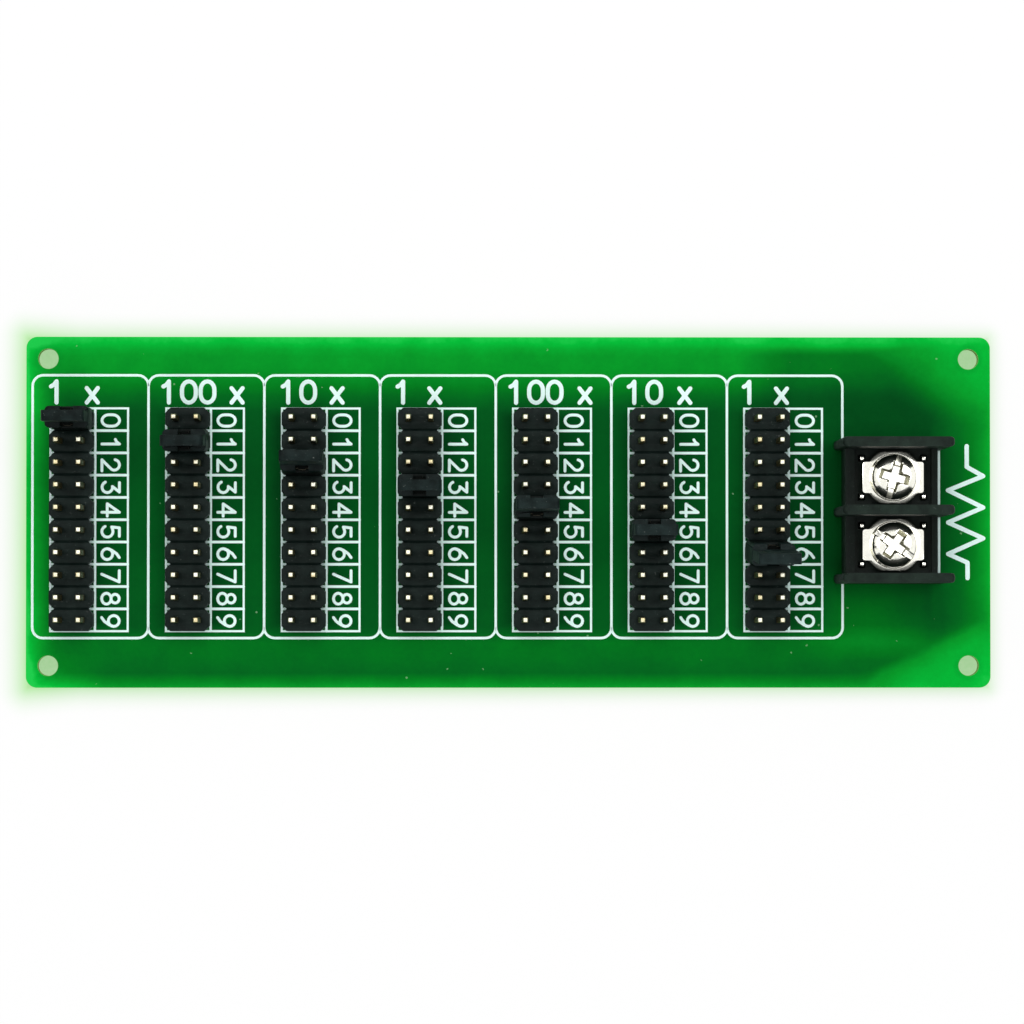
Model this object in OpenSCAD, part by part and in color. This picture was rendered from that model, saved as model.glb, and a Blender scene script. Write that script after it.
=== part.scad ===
// Programmable resistor board: seven decades of pin headers with jumper caps, chip resistors
// behind them and a two-pole barrier terminal. Millimetres. +X runs along the board towards the
// terminal, +Y towards the decade headings, +Z up. z = 0 is the plane of the pin tails.

/* [Circuit board] */
// Length of the board
board_l = 110; // [109:1:125]
// Width of the board
board_w = 40; // [36:1:50]
// Thickness of the board
board_t = 1.6; // [1:0.1:2.4]
// Radius of the board corners
board_r = 1.27; // [0.5:0.01:2.2]
// Diameter of the four mounting holes
mount_d = 2.3; // [2:0.1:3]
// Distance from the mounting hole centres to both board edges
mount_inset = 2.5; // [2:0.1:3.4]

/* [Pin headers] */
// Spacing of the pins both ways
pitch = 2.54; // [2.5:0.01:2.6]
// Distance from the left board edge to the middle of the first header
header_margin = 5.23; // [4.5:0.01:5.5]
// Distance from the middle of the board down to the middle of the headers
header_drop = 0.863; // [0:0.001:1.5]
// Width of the header plastic
header_w = 4.92; // [4.6:0.02:5]
// Height of the header plastic
header_h = 2.5; // [2:0.1:3]
// Size of the corner chamfers at every row
header_notch = 0.6; // [0.3:0.05:0.8]
// Width of the groove across the plastic between two rows
groove_w = 0.3; // [0.2:0.05:0.4]
// Depth of the groove across the plastic between two rows
groove_d = 0.2; // [0.1:0.05:0.4]
// Width of the relief under the plastic between the pin rows
relief_w = 0.9; // [0.6:0.1:1.2]
// Height of the relief under the plastic
relief_h = 0.25; // [0.1:0.05:0.5]
// Side of the square pins
pin_w = 0.64; // [0.56:0.02:0.7]
// Length of the pins above the plastic
pin_above = 6; // [5.4:0.1:6.6]
// Length of the pins below the plastic
pin_below = 3; // [2.8:0.1:3.4]
// Width of the pin tips
pin_tip_w = 0.44; // [0.3:0.02:0.54]
// Length of the taper at the pin tips
pin_tip_h = 0.35; // [0.2:0.05:0.5]
// Radial play of a pin in its board hole
pin_hole_play = 0.06; // [0.03:0.01:0.12]

/* [Jumper caps] */
// Length of a cap across its two pins
cap_l = 4.9; // [4.8:0.02:5.1]
// Width of a cap along the header
cap_w = 2.44; // [2.4:0.01:2.5]
// Radius of the upright corners of a cap
cap_r = 0.5; // [0.2:0.05:0.6]
// Thickness of the cap walls beside the clip
cap_side = 0.4; // [0.36:0.01:0.44]
// Thickness of the cap walls at its ends
cap_end = 0.42; // [0.36:0.01:0.5]
// Thickness of the cap roof under the handle
cap_roof = 0.7; // [0.5:0.05:1]
// Room between the pin tips and the cap roof
cap_room = 0.3; // [0.25:0.05:0.5]
// Length of the handle tab
handle_l = 4.8; // [4:0.05:5]
// Thickness of the handle tab
handle_t = 1.2; // [0.9:0.05:1.4]
// Height of the handle tab above the cap body
handle_h = 6.5; // [5:0.1:8]
// Radius of the top corners of the handle tab
handle_r = 0.5; // [0.2:0.05:0.8]
// Width of the window in each side of a cap
window_w = 1.3; // [1.1:0.05:1.5]
// Height of the window in each side of a cap
window_h = 2.6; // [2:0.1:3]
// Gap between a seated cap and the header plastic
cap_seat = 0.02; // [0.01:0.01:0.1]
// Size of the chamfer inside the mouth of a cap
cap_mouth = 0.2; // [0.1:0.02:0.24]

/* [Jumper clips] */
// Thickness of the spring strip
clip_t = 0.2; // [0.15:0.01:0.22]
// Width of the spring leaf at each pin
leaf_w = 1.4; // [1.2:0.05:1.5]
// Gap between a leaf and its pin
leaf_gap = 0.04; // [0.02:0.01:0.08]
// Length of the flat of a leaf that grips its pin
leaf_flat = 0.8; // [0.4:0.1:1.2]
// Height of the leaf ends above the mouth of the cap
leaf_start = 0.5; // [0.3:0.05:1]
// Rise from the middle of the grip to the root of a leaf
leaf_root = 1.3; // [1:0.1:2]
// Rise from the middle of the grip to the band that joins two leaves
band_rise = 1.6; // [1.4:0.1:2.2]
// Width of the bridge over the clip and of its catches
bridge_w = 0.8; // [0.6:0.05:0.9]
// How far a catch stands out into its window
catch_out = 0.16; // [0.1:0.02:0.2]
// Gap between a catch and the lower edge of its window
catch_gap = 0.3; // [0.2:0.05:0.5]

/* [Chip resistors] */
// Length of a chip resistor
chip_l = 3.2; // [3:0.05:3.3]
// Width of a chip resistor
chip_w = 2.5; // [1.6:0.05:2.6]
// Thickness of a chip resistor at its ends
chip_t = 0.6; // [0.4:0.05:0.6]
// Height of the metal end caps above the chip body
chip_step = 0.04; // [0.02:0.01:0.06]
// Length of the metal end caps of a chip resistor
chip_end = 0.5; // [0.3:0.05:0.7]
// Distance from the header middle to the first chip column
chip_near = 4.1; // [3.7:0.05:4.2]
// Distance between the two chip columns
chip_gap = 3.1; // [2.9:0.05:3.2]

/* [Solder] */
// Width of the solder ring outside its hole
solder_ring = 0.35; // [0.25:0.05:0.4]
// Height of the solder fillets
solder_h = 0.91; // [0.6:0.01:1.1]
// Width of the steep toe at the foot of a fillet
solder_toe = 0.06; // [0.02:0.01:0.1]
// Height of the steep toe at the foot of a fillet
solder_toe_h = 0.11; // [0.05:0.01:0.2]
// Thickness of the solder skin at the top of a fillet
solder_skin = 0.04; // [0.02:0.01:0.08]

/* [Terminal housing] */
// Distance from the right board edge to the middle of the terminal
term_inset = 11.65; // [10:0.05:12]
// Distance from the middle of the last header to the middle of the terminal
term_gap = 13.92; // [13:0.01:15]
// Distance between the two poles
pole_gap = 7.62; // [7.5:0.01:8]
// Length of the barrier walls across the terminal
wall_l = 12.5; // [11.5:0.1:13]
// Thickness of the barrier walls
wall_t = 1.1; // [0.9:0.05:1.2]
// Height of the barrier walls above the board
wall_h = 14; // [13:0.1:16]
// Radius of the top corners of the barrier walls
wall_r = 0.5; // [0.2:0.05:1]
// Length of the housing base across the terminal
base_l = 10.4; // [10:0.1:11]
// Height of the rims at both ends of a pole
rim_h = 6.2; // [6:0.1:6.8]
// Thickness of the rims at both ends of a pole
rim_t = 0.85; // [0.6:0.05:1]
// Depth of the pole floor below the rims
rim_step = 1; // [0.6:0.1:1.4]
// Thickness of the pole floor
floor_t = 1; // [0.8:0.1:1.2]
// Gap between the floor windows and the contact
window_play = 0.08; // [0.04:0.01:0.12]

/* [Contacts] */
// Thickness of the contact plate
contact_t = 0.8; // [0.6:0.05:1]
// Length of the contact plate
contact_l = 7.6; // [7.4:0.05:7.8]
// Width of the contact plate
contact_w = 5; // [4.8:0.05:5.2]
// Length of the raised pad under the clamp plate
pad_l = 6.7; // [6.4:0.05:6.8]
// Width of the raised pad under the clamp plate
pad_w = 3.3; // [3:0.05:3.4]
// Diameter of the round middle of the pad
pad_d = 4.9; // [4.4:0.05:5]
// Height of the pad above the pole floor
pad_rise = 0.4; // [0.3:0.05:0.6]
// Outer diameter of the threaded collar
collar_d = 4.4; // [4.2:0.1:4.6]
// Length of the threaded collar below the contact plate
collar_h = 1.4; // [1:0.1:1.6]
// Side of the square teeth at the contact corners
tooth_w = 0.6; // [0.5:0.02:0.66]
// Height of the teeth above the pad
tooth_rise = 0.45; // [0.3:0.05:0.6]
// Width of the solder leg
leg_w = 1.1; // [0.9:0.05:1.2]
// Radial play of the solder leg in its board hole
leg_play = 0.08; // [0.04:0.01:0.15]

/* [Clamp plates] */
// Length of a clamp plate across the terminal
clamp_l = 6.9; // [6.6:0.05:7]
// Width of the two wings of a clamp plate
clamp_w = 3.5; // [3:0.05:3.6]
// Diameter of the round middle of a clamp plate
clamp_d = 6.4; // [6:0.05:6.5]
// Width of that round middle between its two flats
clamp_flat = 5.8; // [5.5:0.05:5.9]
// Thickness of a clamp plate
clamp_t = 0.7; // [0.5:0.05:1]
// Radius of the corners of the wings
clamp_r = 0.3; // [0.1:0.05:0.6]
// Height of the raised ring around the screw head
ring_h = 0.18; // [0.1:0.02:0.3]
// Height of the upright edges of that ring
ring_edge = 0.02; // [0.01:0.01:0.05]
// Radial play between the raised ring and the screw head
ring_play = 0.06; // [0.03:0.01:0.12]
// Radial play of the screw in its clamp plate
clamp_play = 0.12; // [0.08:0.01:0.2]

/* [Terminal screws] */
// Diameter of the screw thread
screw_d = 3; // [2.6:0.1:3.2]
// Radial play between the screw shank and the threaded collar
thread_play = 0.04; // [0.02:0.01:0.1]
// Diameter of the screw head
head_d = 5.1; // [4.6:0.05:5.1]
// Height of the screw head
head_h = 2.1; // [1.8:0.05:2.4]
// Height of the upright rim of the screw head
head_rim = 1.2; // [0.8:0.05:1.3]
// Length of the screw below its head
screw_l = 5.7; // [5:0.1:6]
// Size of the chamfer at the end of the screw
screw_tip = 0.4; // [0.2:0.05:0.6]
// Width of the straight slot
slot_w = 0.85; // [0.7:0.05:1]
// Depth of the straight slot
slot_d = 0.8; // [0.5:0.05:1]
// Span of the cross recess
cross_l = 3.2; // [2.6:0.1:3.4]
// Depth of the cross recess
cross_d = 1.2; // [1:0.05:1.4]

/* [Hidden] */
$fn = 48;

// Small overlap that keeps cutters from ending on a face
eps = 0.01;
// Rows of pins in each header, and the decades from left to right
rows = 10;
decades = 7;
// Row that each jumper cap sits on, from the left decade to the right one
cap_row = [0, 1, 2, 3, 4, 5, 6];
// Lean of each cap towards +Y and towards +X, in degrees, as loose caps stand
cap_lean_y = [-1, -2.3, 2.6, -1.5, 1.3, -0.8, -4.8];
cap_lean_x = [0, 0, 0, 0, 0, 0, 3];
// Turn of the straight slot of each screw
slot_turn = [75, -35];

board_bottom = pin_below - board_t;
board_top = pin_below;
mount_x = board_l / 2 - mount_inset;
mount_y = board_w / 2 - mount_inset;
pin_hole_d = pin_w * sqrt(2) + 2 * pin_hole_play;

plastic_top = board_top + header_h;
pin_l = pin_below + header_h + pin_above;

cap_cavity_h = pin_above + cap_room;
cap_body_h = cap_cavity_h + cap_roof;
cavity_x = cap_l / 2 - cap_end;
cavity_y = cap_w / 2 - cap_side;
// Height at which the leaves grip the pins, which is also where a cap leans
grip_h = pin_above / 2;

chip_z = board_bottom - chip_t;

solder_r = pin_hole_d / 2 + solder_ring;

term_x = board_l / 2 - term_inset;
// The headers share what the margins and the terminal leave of the board length
header_gap = (board_l - header_margin - term_inset - term_gap) / (decades - 1);
bay_w = pole_gap - wall_t;
floor_top = board_top + rim_h - rim_step;
floor_bottom = floor_top - floor_t;
pad_top = floor_top + pad_rise;
tooth_x = contact_l / 2 - tooth_w / 2;
tooth_y = contact_w / 2 - tooth_w / 2;
thread_d = screw_d + 2 * thread_play;
leg_x = -contact_l / 2 + contact_t / 2;
leg_hole_d = sqrt(leg_w * leg_w + contact_t * contact_t) + 2 * leg_play;
leg_solder_r = leg_hole_d / 2 + solder_ring;
clamp_top = pad_top + clamp_t;
clamp_hole_d = screw_d + 2 * clamp_play;

function column_x(d) = -board_l / 2 + header_margin + d * header_gap;
function row_y(r) = -header_drop + ((rows - 1) / 2 - r) * pitch;
function pole_y(p) = (0.5 - p) * pole_gap;

// Outline with rounded corners, centred on the origin
module rounded_outline(l, w, r) {
    union() {
        square([l - 2 * r, w], center = true);
        square([l, w - 2 * r], center = true);
        for (x = [-1, 1], y = [-1, 1])
            translate([x * (l / 2 - r), y * (w / 2 - r)])
                circle(r = r);
    }
}

// Places its child at every pin of one header
module at_pins(d) {
    for (side = [-1, 1], r = [0 : rows - 1])
        translate([column_x(d) + side * pitch / 2, row_y(r), 0])
            children();
}

// Places its child at one pole of the terminal, at the height z
module at_pole(p, z) {
    translate([term_x, pole_y(p), z])
        children();
}

// Places its child at the bottom middle of a seated cap, with the lean of that cap
module at_cap(d) {
    lift_y = cap_w / 2 * sin(abs(cap_lean_y[d])) - grip_h * (1 - cos(cap_lean_y[d]));
    lift_x = cap_l / 2 * sin(abs(cap_lean_x[d])) - grip_h * (1 - cos(cap_lean_x[d]));
    seat = plastic_top + cap_seat + lift_y + lift_x;
    translate([column_x(d), row_y(cap_row[d]), seat + grip_h])
        rotate([-cap_lean_y[d], cap_lean_x[d], 0])
            translate([0, 0, -grip_h])
                children();
}

module circuit_board() {
    color("green")
        translate([0, 0, board_bottom])
            linear_extrude(board_t)
                difference() {
                    rounded_outline(board_l, board_w, board_r);
                    for (x = [-1, 1], y = [-1, 1])
                        translate([x * mount_x, y * mount_y])
                            circle(d = mount_d);
                    for (d = [0 : decades - 1])
                        at_pins(d)
                            circle(d = pin_hole_d);
                    for (p = [0, 1])
                        translate([term_x + leg_x, pole_y(p)])
                            circle(d = leg_hole_d);
                }
}

// Right edge of the header plastic at one row, from its upper chamfer to its lower one
function row_edge(r) = [
    [header_w / 2, row_y(r) + pitch / 2 - header_notch],
    [header_w / 2, row_y(r) - pitch / 2 + header_notch],
    [header_w / 2 - header_notch, row_y(r) - pitch / 2]
];

module header_housing(d) {
    edge = concat(
        [[header_w / 2 - header_notch, row_y(0) + pitch / 2]],
        [for (r = [0 : rows - 1]) each row_edge(r)]
    );
    far_edge = [for (i = [len(edge) - 1 : -1 : 0]) [-edge[i][0], edge[i][1]]];
    color("dimgray")
        difference() {
            translate([column_x(d), 0, board_top])
                linear_extrude(header_h)
                    polygon(concat(edge, far_edge));
            at_pins(d)
                translate([-pin_w / 2, -pin_w / 2, board_top - eps])
                    cube([pin_w, pin_w, header_h + 2 * eps]);
            for (r = [1 : rows - 1])
                translate([column_x(d), row_y(r) + pitch / 2, plastic_top])
                    rotate([90, 0, 90])
                        linear_extrude(header_w + 1, center = true)
                            polygon([[-groove_w / 2, eps], [0, -groove_d], [groove_w / 2, eps]]);
            translate([column_x(d) - relief_w / 2, row_y(rows), board_top - eps])
                cube([relief_w, (rows + 1) * pitch, relief_h + eps]);
        }
}

// One side view of a pin, with its tapered tips
module pin_profile() {
    polygon([
        [-pin_tip_w / 2, 0],
        [pin_tip_w / 2, 0],
        [pin_w / 2, pin_tip_h],
        [pin_w / 2, pin_l - pin_tip_h],
        [pin_tip_w / 2, pin_l],
        [-pin_tip_w / 2, pin_l],
        [-pin_w / 2, pin_l - pin_tip_h],
        [-pin_w / 2, pin_tip_h]
    ]);
}

module pin() {
    intersection() {
        rotate([90, 0, 0])
            linear_extrude(pin_w, center = true)
                pin_profile();
        rotate([90, 0, 90])
            linear_extrude(pin_w, center = true)
                pin_profile();
    }
}

module header_pins(d) {
    color("gold")
        at_pins(d)
            pin();
}

// Tab above the cap body, with round top corners
module handle() {
    rotate([90, 0, 0])
        linear_extrude(handle_t, center = true)
            union() {
                translate([-handle_l / 2, -eps])
                    square([handle_l, handle_h - handle_r + eps]);
                translate([-handle_l / 2 + handle_r, 0])
                    square([handle_l - 2 * handle_r, handle_h]);
                for (x = [-1, 1])
                    translate([x * (handle_l / 2 - handle_r), handle_h - handle_r])
                        circle(r = handle_r);
            }
}

module jumper_cap(d) {
    color("black")
        at_cap(d)
            difference() {
                union() {
                    linear_extrude(cap_body_h)
                        rounded_outline(cap_l, cap_w, cap_r);
                    translate([0, 0, cap_body_h])
                        handle();
                }
                translate([-cavity_x, -cavity_y, -eps])
                    cube([2 * cavity_x, 2 * cavity_y, cap_cavity_h + eps]);
                rotate([90, 0, 90])
                    linear_extrude(2 * cavity_x, center = true)
                        polygon([
                            [-cavity_y - cap_mouth, -eps],
                            [cavity_y + cap_mouth, -eps],
                            [cavity_y, cap_mouth],
                            [-cavity_y, cap_mouth]
                        ]);
                for (side = [-1, 1])
                    translate([-window_w / 2, side * cap_w / 2 - cap_side, cap_body_h - window_h])
                        cube([window_w, 2 * cap_side, window_h + eps]);
            }
}

// Spring leaf seen from the end: flared mouth, grip on the pin, and root at the side band
module leaf_profile() {
    grip_y = pin_w / 2 + leaf_gap;
    root_y = cavity_y - clip_t;
    root_h = grip_h + leaf_root;
    polygon([
        [root_y, leaf_start],
        [root_y + clip_t, leaf_start],
        [grip_y + clip_t, grip_h - leaf_flat / 2],
        [grip_y + clip_t, grip_h + leaf_flat / 2],
        [cavity_y, root_h],
        [cavity_y, cap_cavity_h - clip_t],
        [root_y, cap_cavity_h - clip_t],
        [root_y, root_h],
        [grip_y, grip_h + leaf_flat / 2],
        [grip_y, grip_h - leaf_flat / 2]
    ]);
}

module jumper_clip(d) {
    band_h = grip_h + band_rise;
    band_l = pitch + leaf_w;
    catch_h = cap_body_h - window_h + catch_gap;
    color("silver")
        at_cap(d)
            union() {
                for (side = [-1, 1]) {
                    for (x = [-pitch / 2, pitch / 2])
                        translate([x, 0, 0])
                            rotate([90, 0, 90])
                                linear_extrude(leaf_w, center = true)
                                    scale([side, 1])
                                        leaf_profile();
                    translate([-band_l / 2, side * (cavity_y - clip_t / 2) - clip_t / 2, band_h])
                        cube([band_l, clip_t, cap_cavity_h - clip_t - band_h]);
                    translate([
                        -bridge_w / 2,
                        side * (cavity_y + catch_out / 2 - clip_t / 2) - (catch_out + clip_t) / 2,
                        catch_h
                    ])
                        cube([bridge_w, catch_out + clip_t, cap_cavity_h - clip_t - catch_h]);
                }
                translate([-bridge_w / 2, -cavity_y, cap_cavity_h - 2 * clip_t])
                    cube([bridge_w, 2 * cavity_y, clip_t]);
            }
}

module chip() {
    union() {
        translate([-chip_w / 2, -chip_l / 2 + eps, chip_step])
            cube([chip_w, chip_l - 2 * eps, chip_t - 2 * chip_step]);
        for (side = [-1, 1])
            translate([-chip_w / 2, side * (chip_l - chip_end) / 2 - chip_end / 2, 0])
                cube([chip_w, chip_end, chip_t]);
    }
}

// Nine chips bridge the ten rows in two staggered columns
module chip_resistors(d) {
    color("darkslategray")
        for (r = [0 : rows - 2])
            translate([
                column_x(d) + chip_near + (r % 2) * chip_gap,
                row_y(r) - pitch / 2,
                chip_z
            ])
                chip();
}

// Solder fillet hanging from the board underside round a tail of the given half diagonal
module fillet(ring_r, tail_r) {
    skin_r = tail_r + solder_skin;
    rotate_extrude()
        polygon([
            [0, 0],
            [ring_r, 0],
            [ring_r - solder_toe, -solder_toe_h],
            [(ring_r + 3 * skin_r) / 4, -0.5 * solder_h],
            [skin_r, -solder_h],
            [0, -solder_h]
        ]);
}

module solder_joints(d) {
    color("lightgray")
        at_pins(d)
            translate([0, 0, board_bottom])
                difference() {
                    fillet(solder_r, pin_w / sqrt(2));
                    translate([-pin_w / 2, -pin_w / 2, -2 * solder_h])
                        cube([pin_w, pin_w, 3 * solder_h]);
                }
}

module terminal_solder() {
    color("lightgray")
        for (p = [0, 1])
            at_pole(p, board_bottom)
                translate([leg_x, 0, 0])
                    difference() {
                        fillet(leg_solder_r, leg_hole_d / 2 - leg_play);
                        translate([-contact_t / 2, -leg_w / 2, -2 * solder_h])
                            cube([contact_t, leg_w, 3 * solder_h]);
                    }
}

// Barrier wall seen from the side, with round top corners
module barrier_wall() {
    rotate([90, 0, 0])
        linear_extrude(wall_t, center = true)
            union() {
                translate([-wall_l / 2, 0])
                    square([wall_l, wall_h - wall_r]);
                translate([-wall_l / 2 + wall_r, 0])
                    square([wall_l - 2 * wall_r, wall_h]);
                for (x = [-1, 1])
                    translate([x * (wall_l / 2 - wall_r), wall_h - wall_r])
                        circle(r = wall_r);
            }
}

// Outline of the raised contact pad, grown by some play
module pad_outline(play) {
    union() {
        square([pad_l + 2 * play, pad_w + 2 * play], center = true);
        circle(d = pad_d + 2 * play);
    }
}

// Places its child at the four corner teeth of a contact
module at_teeth() {
    for (x = [-1, 1], y = [-1, 1])
        translate([x * tooth_x, y * tooth_y])
            children();
}

module terminal_housing() {
    hollow_l = contact_l + 2 * window_play;
    hollow_w = contact_w + 2 * window_play;
    color("black")
        difference() {
            union() {
                translate([term_x - base_l / 2, -pole_gap, board_top])
                    cube([base_l, 2 * pole_gap, rim_h]);
                for (y = [-1, 0, 1])
                    translate([term_x, y * pole_gap, board_top])
                        barrier_wall();
            }
            for (p = [0, 1]) {
                at_pole(p, floor_top)
                    translate([-base_l / 2 + rim_t, -bay_w / 2, 0])
                        cube([base_l - 2 * rim_t, bay_w, rim_step + eps]);
                at_pole(p, floor_bottom - eps)
                    linear_extrude(floor_t + 2 * eps)
                        union() {
                            pad_outline(window_play);
                            at_teeth()
                                square(tooth_w + 2 * window_play, center = true);
                        }
                at_pole(p, board_top - eps)
                    translate([-hollow_l / 2, -hollow_w / 2, 0])
                        cube([hollow_l, hollow_w, floor_bottom - board_top + eps]);
            }
        }
}

module terminal_contact(p) {
    plate_bottom = floor_bottom - contact_t;
    color("silver")
        at_pole(p, 0)
            difference() {
                union() {
                    translate([-contact_l / 2, -contact_w / 2, plate_bottom])
                        cube([contact_l, contact_w, contact_t]);
                    translate([0, 0, floor_bottom - eps])
                        linear_extrude(pad_top - floor_bottom + eps)
                            pad_outline(0);
                    translate([0, 0, plate_bottom - collar_h])
                        cylinder(d = collar_d, h = collar_h + eps);
                    translate([0, 0, floor_bottom - eps])
                        linear_extrude(pad_top + tooth_rise - floor_bottom + eps)
                            at_teeth()
                                square(tooth_w, center = true);
                    translate([leg_x - contact_t / 2, -leg_w / 2, 0])
                        cube([contact_t, leg_w, plate_bottom + eps]);
                }
                translate([0, 0, plate_bottom - collar_h - eps])
                    cylinder(d = thread_d, h = pad_top - plate_bottom + collar_h + 2 * eps);
            }
}

// Square washer with a round dished middle that is captive under the screw head
module clamp_plate(p) {
    ring_in = head_d / 2 + ring_play;
    ring_out = clamp_flat / 2;
    ring_mid = (ring_in + ring_out) / 2;
    color("silver")
        at_pole(p, pad_top)
            difference() {
                union() {
                    linear_extrude(clamp_t)
                        union() {
                            rounded_outline(clamp_l, clamp_w, clamp_r);
                            intersection() {
                                circle(d = clamp_d);
                                square([clamp_d, clamp_flat], center = true);
                            }
                        }
                    rotate_extrude()
                        polygon([
                            [ring_in, clamp_t - eps],
                            [ring_out, clamp_t - eps],
                            [ring_out, clamp_t + ring_edge],
                            [ring_mid, clamp_t + ring_h],
                            [ring_in, clamp_t + ring_edge]
                        ]);
                }
                translate([0, 0, -eps])
                    cylinder(d = clamp_hole_d, h = clamp_t + 2 * eps);
            }
}

// Pan head in section: upright rim, round shoulder and nearly flat crown
module head_section() {
    shoulder = head_h - head_rim;
    union() {
        square([head_d / 2 - shoulder, head_h]);
        square([head_d / 2, head_rim]);
        intersection() {
            translate([head_d / 2 - shoulder, head_rim])
                circle(r = shoulder);
            square([head_d / 2, head_h]);
        }
    }
}

module terminal_screw(p) {
    color("silver")
        at_pole(p, clamp_top)
            rotate([0, 0, slot_turn[p]])
                difference() {
                    union() {
                        rotate_extrude()
                            head_section();
                        translate([0, 0, screw_tip - screw_l])
                            cylinder(d = screw_d, h = screw_l - screw_tip + eps);
                        translate([0, 0, -screw_l])
                            cylinder(d1 = screw_d - 2 * screw_tip, d2 = screw_d, h = screw_tip);
                    }
                    translate([-head_d, -slot_w / 2, head_h - slot_d])
                        cube([2 * head_d, slot_w, slot_d + eps]);
                    translate([-cross_l / 2, -slot_w / 2, head_h - cross_d])
                        cube([cross_l, slot_w, cross_d + eps]);
                    translate([-slot_w / 2, -cross_l / 2, head_h - cross_d])
                        cube([slot_w, cross_l, cross_d + eps]);
                }
}

circuit_board();
header_housing(0);  // header_housing_1m
header_housing(1);  // header_housing_100k
header_housing(2);  // header_housing_10k
header_housing(3);  // header_housing_1k
header_housing(4);  // header_housing_100r
header_housing(5);  // header_housing_10r
header_housing(6);  // header_housing_1r
header_pins(0);  // header_pins_1m
header_pins(1);  // header_pins_100k
header_pins(2);  // header_pins_10k
header_pins(3);  // header_pins_1k
header_pins(4);  // header_pins_100r
header_pins(5);  // header_pins_10r
header_pins(6);  // header_pins_1r
jumper_cap(0);  // jumper_cap_1m
jumper_cap(1);  // jumper_cap_100k
jumper_cap(2);  // jumper_cap_10k
jumper_cap(3);  // jumper_cap_1k
jumper_cap(4);  // jumper_cap_100r
jumper_cap(5);  // jumper_cap_10r
jumper_cap(6);  // jumper_cap_1r
jumper_clip(0);  // jumper_clip_1m
jumper_clip(1);  // jumper_clip_100k
jumper_clip(2);  // jumper_clip_10k
jumper_clip(3);  // jumper_clip_1k
jumper_clip(4);  // jumper_clip_100r
jumper_clip(5);  // jumper_clip_10r
jumper_clip(6);  // jumper_clip_1r
chip_resistors(0);  // chip_resistors_1m
chip_resistors(1);  // chip_resistors_100k
chip_resistors(2);  // chip_resistors_10k
chip_resistors(3);  // chip_resistors_1k
chip_resistors(4);  // chip_resistors_100r
chip_resistors(5);  // chip_resistors_10r
chip_resistors(6);  // chip_resistors_1r
solder_joints(0);  // solder_joints_1m
solder_joints(1);  // solder_joints_100k
solder_joints(2);  // solder_joints_10k
solder_joints(3);  // solder_joints_1k
solder_joints(4);  // solder_joints_100r
solder_joints(5);  // solder_joints_10r
solder_joints(6);  // solder_joints_1r
terminal_solder();
terminal_housing();
terminal_contact(0);  // terminal_contact_1
terminal_contact(1);  // terminal_contact_2
clamp_plate(0);  // clamp_plate_1
clamp_plate(1);  // clamp_plate_2
terminal_screw(0);  // terminal_screw_1
terminal_screw(1);  // terminal_screw_2
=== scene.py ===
import math

import bmesh
import bpy
from mathutils import Matrix, Vector


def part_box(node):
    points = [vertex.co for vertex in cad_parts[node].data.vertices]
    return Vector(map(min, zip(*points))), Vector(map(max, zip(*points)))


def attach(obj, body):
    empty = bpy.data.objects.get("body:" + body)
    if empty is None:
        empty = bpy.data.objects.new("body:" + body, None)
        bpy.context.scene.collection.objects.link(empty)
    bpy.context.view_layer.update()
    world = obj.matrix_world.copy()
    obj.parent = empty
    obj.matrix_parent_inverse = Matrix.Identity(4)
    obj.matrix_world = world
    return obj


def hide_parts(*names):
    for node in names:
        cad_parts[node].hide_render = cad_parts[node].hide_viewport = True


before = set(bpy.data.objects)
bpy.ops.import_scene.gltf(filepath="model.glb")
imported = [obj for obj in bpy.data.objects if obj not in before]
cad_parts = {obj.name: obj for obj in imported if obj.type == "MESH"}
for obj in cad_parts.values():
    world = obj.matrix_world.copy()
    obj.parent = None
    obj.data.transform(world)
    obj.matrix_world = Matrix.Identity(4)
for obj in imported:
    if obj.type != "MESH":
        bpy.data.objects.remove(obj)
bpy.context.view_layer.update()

mm = 0.001
bpy.ops.object.select_all(action="DESELECT")

# decades from left to right: plain number of the heading, its left edge, middle of its cross
decades = {
    "1m": ("1", -52.5, -47.5),
    "100k": ("100", -39.7, -31.0),
    "10k": ("10", -26.1, -19.6),
    "1k": ("1", -13.0, -8.45),
    "100r": ("100", -0.1, 8.7),
    "10r": ("10", 13.4, 20.1),
    "1r": ("1", 26.55, 31.15),
}
decadeStep = 13.2
rows = 10
pitch = 2.54


def middle(node):
    low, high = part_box(node)
    return (low + high) / 2 / mm


def boardSides():
    low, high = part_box("circuit_board")
    return [round(side / mm, 3) for side in (high.x, high.y, low.z, high.z)]


def headerPlace(name):
    # x of the middle of a decade's header, and y of its first and last row of pins
    centre = middle("header_housing_" + name)
    reach = (rows - 1) / 2 * pitch
    return centre.x, centre.y + reach, centre.y - reach


halfLong, halfWide, boardUnder, boardTop = boardSides()
# the two poles of the terminal stand at +poleY and -poleY
poleX, poleY = [round(side, 3) for side in middle("clamp_plate_1")[:2]]
legX = round(middle("terminal_solder").x, 3)


# Shaders


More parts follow.
